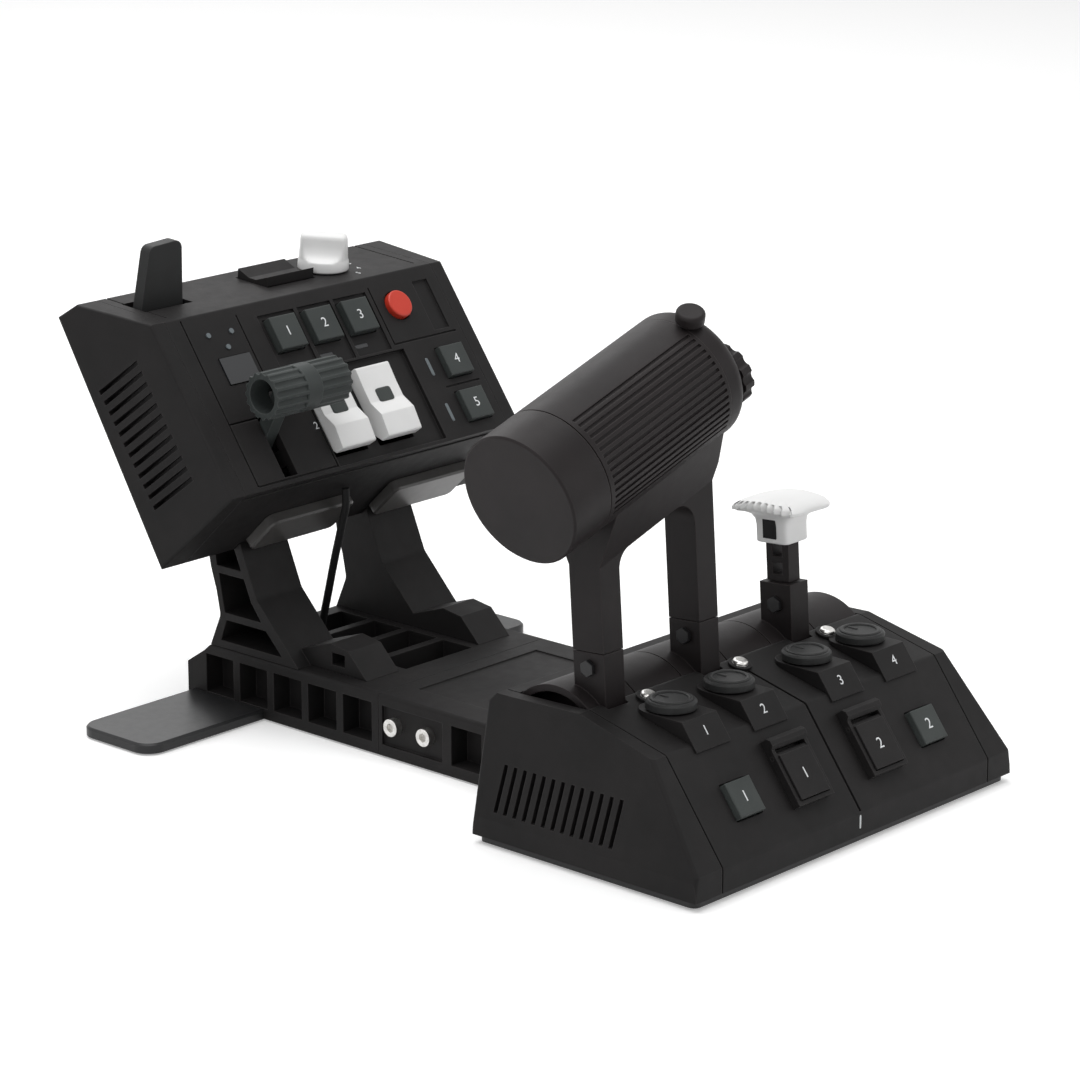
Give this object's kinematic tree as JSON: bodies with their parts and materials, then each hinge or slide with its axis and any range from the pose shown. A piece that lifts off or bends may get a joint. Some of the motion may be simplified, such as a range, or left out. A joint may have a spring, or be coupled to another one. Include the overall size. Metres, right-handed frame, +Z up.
{
  "type": "throttle quadrant",
  "caption": "Desk throttle quadrant with a bridge grip on two levers, a small white lever, a rail and a tilted switch panel.",
  "frame": {"origin": "centre of the screw pattern in the underside of the lever base", "axes": "+Z up, +Y away from the user from the lever base to the switch panel, +X to the user's right"},
  "size_m": [0.2207, 0.3345, 0.1945],
  "materials": {
    "shell_plastic": "fine matte texture",
    "steel": "bright",
    "plate_metal": "satin powder coat",
    "rubber": "matte",
    "key_plastic": "matte",
    "white_plastic": "satin",
    "red_plastic": "satin",
    "board": "satin"
  },
  "bodies": {
    "stand": {"base_plate": "plate_metal", "base_housing": "shell_plastic", "side_cover_left": "shell_plastic", "side_cover_right": "shell_plastic", "base_feet": "rubber", "drum_axle": "steel", "axle_bearings": "steel", "drum_blanks": "shell_plastic", "drum_screws": "steel", "label_tiles": "shell_plastic", "guard_frames": "shell_plastic", "base_board": "board", "rail_front": "shell_plastic", "rail_rear": "shell_plastic", "rail_screws": "steel", "foot_plate": "plate_metal", "support_arm_left": "shell_plastic", "support_arm_right": "shell_plastic", "arm_clamps": "shell_plastic", "panel_cable": "rubber", "panel_fascia": "shell_plastic", "panel_rear_shell": "shell_plastic", "panel_end_covers": "shell_plastic", "panel_lights": "shell_plastic"},
    "throttle": {"lever_hub_left": "shell_plastic", "lever_hub_right": "shell_plastic", "grip_body": "shell_plastic", "grip_cap": "shell_plastic", "grip_collar": "shell_plastic", "clamp_screws": "steel"},
    "thumb_hat": {"grip_hat": "shell_plastic"},
    "thumb_dial": {"grip_dial": "shell_plastic"},
    "small_lever": {"small_hub": "shell_plastic", "small_stem": "shell_plastic", "small_handle": "white_plastic", "small_clamp_screw": "steel"},
    "lever_button": {"handle_button": "shell_plastic"},
    "knob_1": {"rotary_knob_1": "shell_plastic"},
    "knob_2": {"rotary_knob_2": "shell_plastic"},
    "knob_3": {"rotary_knob_3": "shell_plastic"},
    "knob_4": {"rotary_knob_4": "shell_plastic"},
    "key_1": {"base_key_1": "key_plastic"},
    "guard_1": {"guard_cover_1": "shell_plastic"},
    "guarded_1": {"guard_button_1": "shell_plastic"},
    "key_2": {"base_key_2": "key_plastic"},
    "guard_2": {"guard_cover_2": "shell_plastic"},
    "guarded_2": {"guard_button_2": "shell_plastic"},
    "gear": {"gear_paddle": "key_plastic"},
    "roof_rocker": {"top_rocker": "shell_plastic"},
    "mode": {"mode_knob": "white_plastic"},
    "panel_1": {"panel_key_1": "key_plastic"},
    "panel_2": {"panel_key_2": "key_plastic"},
    "panel_3": {"panel_key_3": "key_plastic"},
    "panel_4": {"panel_key_4": "key_plastic"},
    "panel_5": {"panel_key_5": "key_plastic"},
    "red": {"red_button": "red_plastic"},
    "rocker_1": {"white_rocker_1": "white_plastic"},
    "rocker_2": {"white_rocker_2": "white_plastic"},
    "flap": {"flap_arm": "key_plastic", "flap_knob": "key_plastic"}
  },
  "joints": [
    {"name": "throttle_pivot", "type": "hinge", "parent": "stand", "child": "throttle", "pos_m": [0, 0.026, 0.0375], "axis": [-1, 0, 0], "range_deg": [0, 45]},
    {"name": "small_lever_pivot", "type": "hinge", "parent": "stand", "child": "small_lever", "pos_m": [0, 0.026, 0.0375], "axis": [-1, 0, 0], "range_deg": [0, 45]},
    {"name": "lever_button_slide", "type": "slide", "parent": "small_lever", "child": "lever_button", "axis": [1, 0, 0], "range_m": [0, 0.0015], "stiffness_N_per_m": 300},
    {"name": "thumb_hat_tilt", "type": "hinge", "parent": "throttle", "child": "thumb_hat", "pos_m": [-0.02032, 0.01347, 0.18673], "axis": [-0.1203, 0.9376, 0.3262], "range_deg": [-12, 12], "stiffness_Nm_per_rad": 0.05},
    {"name": "thumb_dial_turn", "type": "hinge", "parent": "throttle", "child": "thumb_dial", "pos_m": [-0.01616, 0.01097, 0.16089], "axis": [0.9553, 0.0199, 0.295], "range_deg": [-150, 150]},
    {"name": "knob_1_turn", "type": "hinge", "parent": "stand", "child": "knob_1", "pos_m": [-0.055, -0.009, 0.0553], "axis": [0, 0, 1], "continuous": true},
    {"name": "knob_2_turn", "type": "hinge", "parent": "stand", "child": "knob_2", "pos_m": [-0.0225, -0.009, 0.0553], "axis": [0, 0, 1], "continuous": true},
    {"name": "knob_3_turn", "type": "hinge", "parent": "stand", "child": "knob_3", "pos_m": [0.0225, -0.009, 0.0553], "axis": [0, 0, 1], "continuous": true},
    {"name": "knob_4_turn", "type": "hinge", "parent": "stand", "child": "knob_4", "pos_m": [0.055, -0.009, 0.0553], "axis": [0, 0, 1], "continuous": true},
    {"name": "key_1_press", "type": "slide", "parent": "stand", "child": "key_1", "axis": [0, 0.8018, -0.5976], "range_m": [0, 0.0016], "stiffness_N_per_m": 300},
    {"name": "guard_1_flip", "type": "hinge", "parent": "stand", "child": "guard_1", "pos_m": [-0.022, -0.03715, 0.03661], "axis": [-1, 0, 0], "range_deg": [0, 88]},
    {"name": "guarded_1_press", "type": "slide", "parent": "stand", "child": "guarded_1", "axis": [0, 0.8018, -0.5976], "range_m": [0, 0.001], "stiffness_N_per_m": 300},
    {"name": "key_2_press", "type": "slide", "parent": "stand", "child": "key_2", "axis": [0, 0.8018, -0.5976], "range_m": [0, 0.0016], "stiffness_N_per_m": 300},
    {"name": "guard_2_flip", "type": "hinge", "parent": "stand", "child": "guard_2", "pos_m": [0.022, -0.03715, 0.03661], "axis": [-1, 0, 0], "range_deg": [0, 88]},
    {"name": "guarded_2_press", "type": "slide", "parent": "stand", "child": "guarded_2", "axis": [0, 0.8018, -0.5976], "range_m": [0, 0.001], "stiffness_N_per_m": 300},
    {"name": "gear_throw", "type": "hinge", "parent": "stand", "child": "gear", "pos_m": [-0.0575, 0.25539, 0.15718], "axis": [1, 0, 0], "range_deg": [-18, 18]},
    {"name": "roof_rocker_tilt", "type": "hinge", "parent": "stand", "child": "roof_rocker", "pos_m": [0.007, 0.25532, 0.15818], "axis": [1, 0, 0], "range_deg": [-8, 8], "stiffness_Nm_per_rad": 0.2},
    {"name": "mode_turn", "type": "hinge", "parent": "stand", "child": "mode", "pos_m": [0.032, 0.2529, 0.16402], "axis": [0, -0.0715, 0.9974], "range_deg": [-120, 120]},
    {"name": "panel_1_press", "type": "slide", "parent": "stand", "child": "panel_1", "axis": [0, 0.8131, -0.5821], "range_m": [0, 0.0015], "stiffness_N_per_m": 300},
    {"name": "panel_2_press", "type": "slide", "parent": "stand", "child": "panel_2", "axis": [0, 0.8131, -0.5821], "range_m": [0, 0.0015], "stiffness_N_per_m": 300},
    {"name": "panel_3_press", "type": "slide", "parent": "stand", "child": "panel_3", "axis": [0, 0.8131, -0.5821], "range_m": [0, 0.0015], "stiffness_N_per_m": 300},
    {"name": "panel_4_press", "type": "slide", "parent": "stand", "child": "panel_4", "axis": [0, 0.8131, -0.5821], "range_m": [0, 0.0015], "stiffness_N_per_m": 300},
    {"name": "panel_5_press", "type": "slide", "parent": "stand", "child": "panel_5", "axis": [0, 0.8131, -0.5821], "range_m": [0, 0.0015], "stiffness_N_per_m": 300},
    {"name": "red_press", "type": "slide", "parent": "stand", "child": "red", "axis": [0, 0.8131, -0.5821], "range_m": [0, 0.0018], "stiffness_N_per_m": 300},
    {"name": "rocker_1_tilt", "type": "hinge", "parent": "stand", "child": "rocker_1", "pos_m": [-0.012, 0.20738, 0.11571], "axis": [1, 0, 0], "range_deg": [-8, 8], "stiffness_Nm_per_rad": 0.3},
    {"name": "rocker_2_tilt", "type": "hinge", "parent": "stand", "child": "rocker_2", "pos_m": [0.014, 0.20738, 0.11571], "axis": [1, 0, 0], "range_deg": [-8, 8], "stiffness_Nm_per_rad": 0.3},
    {"name": "flap_throw", "type": "hinge", "parent": "stand", "child": "flap", "pos_m": [-0.048, 0.21387, 0.09815], "axis": [1, 0, 0], "range_deg": [0, 36]}
  ]
}
